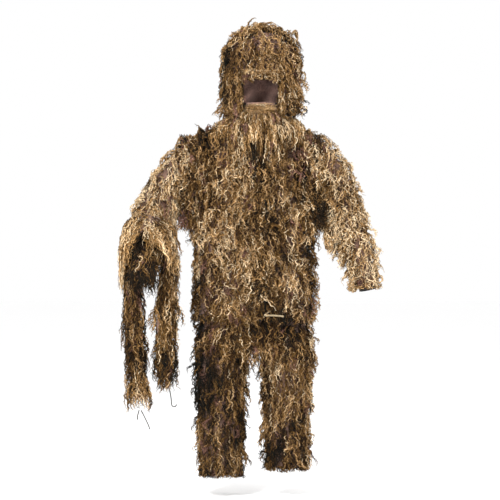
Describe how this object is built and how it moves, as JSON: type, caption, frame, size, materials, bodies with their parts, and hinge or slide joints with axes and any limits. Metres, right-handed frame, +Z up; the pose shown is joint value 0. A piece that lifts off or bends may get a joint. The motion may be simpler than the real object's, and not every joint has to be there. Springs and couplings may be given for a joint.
{
  "type": "ghillie suit",
  "caption": "Full-body camouflage suit of mesh cloth covered in rows of hanging threads: hood, jacket, trousers and a wrap over one forearm.",
  "frame": {"origin": "the top of the wearer's shoulders, on the middle line, where the suit hangs from", "axes": "+Z up, the wearer faces -Y, +X is the wearer's left"},
  "size_m": [1.0505, 0.4387, 1.806],
  "materials": {
    "mesh_cloth": "pinkish tan knitted mesh",
    "straw_threads": "kinky straw and tan thread, dry and matte",
    "brown_threads": "kinky dark brown thread, dry and matte",
    "black_elastic": "ribbed black elastic",
    "cotton_tape": "herringbone cotton tape",
    "stud_metal": "dark oxidised press stud",
    "tie_cord": "dark braided cord"
  },
  "bodies": {
    "jacket": {"jacket_back": "mesh_cloth", "jacket_back_threads": "straw_threads", "jacket_front_left": "mesh_cloth", "jacket_front_left_threads": "straw_threads", "jacket_front_right": "mesh_cloth", "jacket_front_right_threads": "straw_threads", "under_placket": "mesh_cloth", "stud_socket_1": "stud_metal", "stud_socket_2": "stud_metal", "stud_socket_3": "stud_metal", "stud_socket_4": "stud_metal", "jacket_collar": "mesh_cloth", "hanger_loop": "cotton_tape", "jacket_hem_elastic": "black_elastic"},
    "front_flap": {"front_flap": "mesh_cloth", "front_flap_threads": "brown_threads", "stud_cap_1": "stud_metal", "stud_cap_2": "stud_metal", "stud_cap_3": "stud_metal", "stud_cap_4": "stud_metal"},
    "left_upper_sleeve": {"left_upper_sleeve": "mesh_cloth", "left_upper_sleeve_threads": "straw_threads"},
    "left_forearm": {"left_forearm_sleeve": "mesh_cloth", "left_forearm_sleeve_threads": "straw_threads", "left_cuff_elastic": "black_elastic"},
    "right_upper_sleeve": {"right_upper_sleeve": "mesh_cloth", "right_upper_sleeve_threads": "straw_threads"},
    "right_forearm": {"right_forearm_sleeve": "mesh_cloth", "right_forearm_sleeve_threads": "straw_threads", "right_cuff_elastic": "black_elastic"},
    "neck_drape": {"neck_drape": "mesh_cloth", "neck_drape_threads": "straw_threads", "drape_front_threads": "straw_threads"},
    "hood": {"hood_left": "mesh_cloth", "hood_left_threads": "straw_threads", "hood_right": "mesh_cloth", "hood_right_threads": "straw_threads", "hood_brim": "straw_threads", "face_binding": "black_elastic"},
    "chin_flap": {"chin_flap": "mesh_cloth", "chin_flap_threads": "straw_threads"},
    "trousers": {"waist_elastic": "black_elastic", "trouser_seat_front": "mesh_cloth", "trouser_seat_back": "mesh_cloth", "trouser_seat_threads": "straw_threads"},
    "left_thigh": {"left_thigh": "mesh_cloth", "left_thigh_threads": "straw_threads"},
    "left_shin": {"left_shin": "mesh_cloth", "left_shin_threads": "straw_threads"},
    "right_thigh": {"right_thigh": "mesh_cloth", "right_thigh_threads": "straw_threads"},
    "right_shin": {"right_shin": "mesh_cloth", "right_shin_threads": "straw_threads"},
    "wrap_saddle": {"wrap_saddle": "straw_threads"},
    "wrap_tail_outer": {"wrap_tail_outer": "straw_threads", "wrap_tie_outer": "tie_cord", "wrap_tie_outer_short": "tie_cord"},
    "wrap_tail_inner": {"wrap_tail_inner": "straw_threads", "wrap_tie_inner": "tie_cord"}
  },
  "joints": [
    {"name": "left_shoulder", "type": "hinge", "parent": "jacket", "child": "left_upper_sleeve", "pos_m": [0.259, 0, 0.004], "axis": [0, -1, 0], "range_deg": [0, 70]},
    {"name": "left_elbow", "type": "hinge", "parent": "left_upper_sleeve", "child": "left_forearm", "pos_m": [0.359, -0.084, -0.3305], "axis": [-0.9786, 0, -0.2057], "range_deg": [-8, 100]},
    {"name": "right_shoulder", "type": "hinge", "parent": "jacket", "child": "right_upper_sleeve", "pos_m": [-0.259, 0, 0.004], "axis": [0, 1, 0], "range_deg": [-5, 60]},
    {"name": "right_elbow", "type": "hinge", "parent": "right_upper_sleeve", "child": "right_forearm", "pos_m": [-0.3728, -0.0804, -0.3311], "axis": [-0.83, -0.2905, 0.4761], "range_deg": [-25, 45]},
    {"name": "hood_lift", "type": "slide", "parent": "jacket", "child": "neck_drape", "axis": [0, 0, 1], "range_m": [0, 0.3]},
    {"name": "hood_turn", "type": "hinge", "parent": "neck_drape", "child": "hood", "pos_m": [0.026, 0, 0.063], "axis": [0, 0, 1], "range_deg": [-40, 40]},
    {"name": "chin_flap_open", "type": "hinge", "parent": "hood", "child": "chin_flap", "pos_m": [-0.058, -0.134, 0.087], "axis": [0, 0, -1], "range_deg": [0, 110]},
    {"name": "front_flap_open", "type": "hinge", "parent": "jacket", "child": "front_flap", "pos_m": [0.049, -0.143, -0.416], "axis": [0, 0, 1], "range_deg": [0, 140]},
    {"name": "trousers_down", "type": "slide", "parent": "jacket", "child": "trousers", "axis": [0, 0, -1], "range_m": [0, 0.2]},
    {"name": "left_hip", "type": "hinge", "parent": "trousers", "child": "left_thigh", "pos_m": [0.132, -0.124, -0.882], "axis": [-1, 0, 0], "range_deg": [0, 80]},
    {"name": "left_knee", "type": "hinge", "parent": "left_thigh", "child": "left_shin", "pos_m": [0.132, 0.108, -1.112], "axis": [1, 0, 0], "range_deg": [0, 110]},
    {"name": "right_hip", "type": "hinge", "parent": "trousers", "child": "right_thigh", "pos_m": [-0.132, -0.124, -0.882], "axis": [-1, 0, 0], "range_deg": [0, 80]},
    {"name": "right_knee", "type": "hinge", "parent": "right_thigh", "child": "right_shin", "pos_m": [-0.132, 0.108, -1.112], "axis": [1, 0, 0], "range_deg": [0, 110]},
    {"name": "wrap_slide_off", "type": "slide", "parent": "right_forearm", "child": "wrap_saddle", "axis": [-0.0499, -0.8115, -0.5823], "range_m": [0, 0.2]},
    {"name": "outer_tail_swing", "type": "hinge", "parent": "wrap_saddle", "child": "wrap_tail_outer", "pos_m": [-0.52, -0.166, -0.519], "axis": [1, 0, 0], "range_deg": [-25, 25]},
    {"name": "inner_tail_swing", "type": "hinge", "parent": "wrap_saddle", "child": "wrap_tail_inner", "pos_m": [-0.332, -0.166, -0.519], "axis": [1, 0, 0], "range_deg": [-25, 25]}
  ]
}
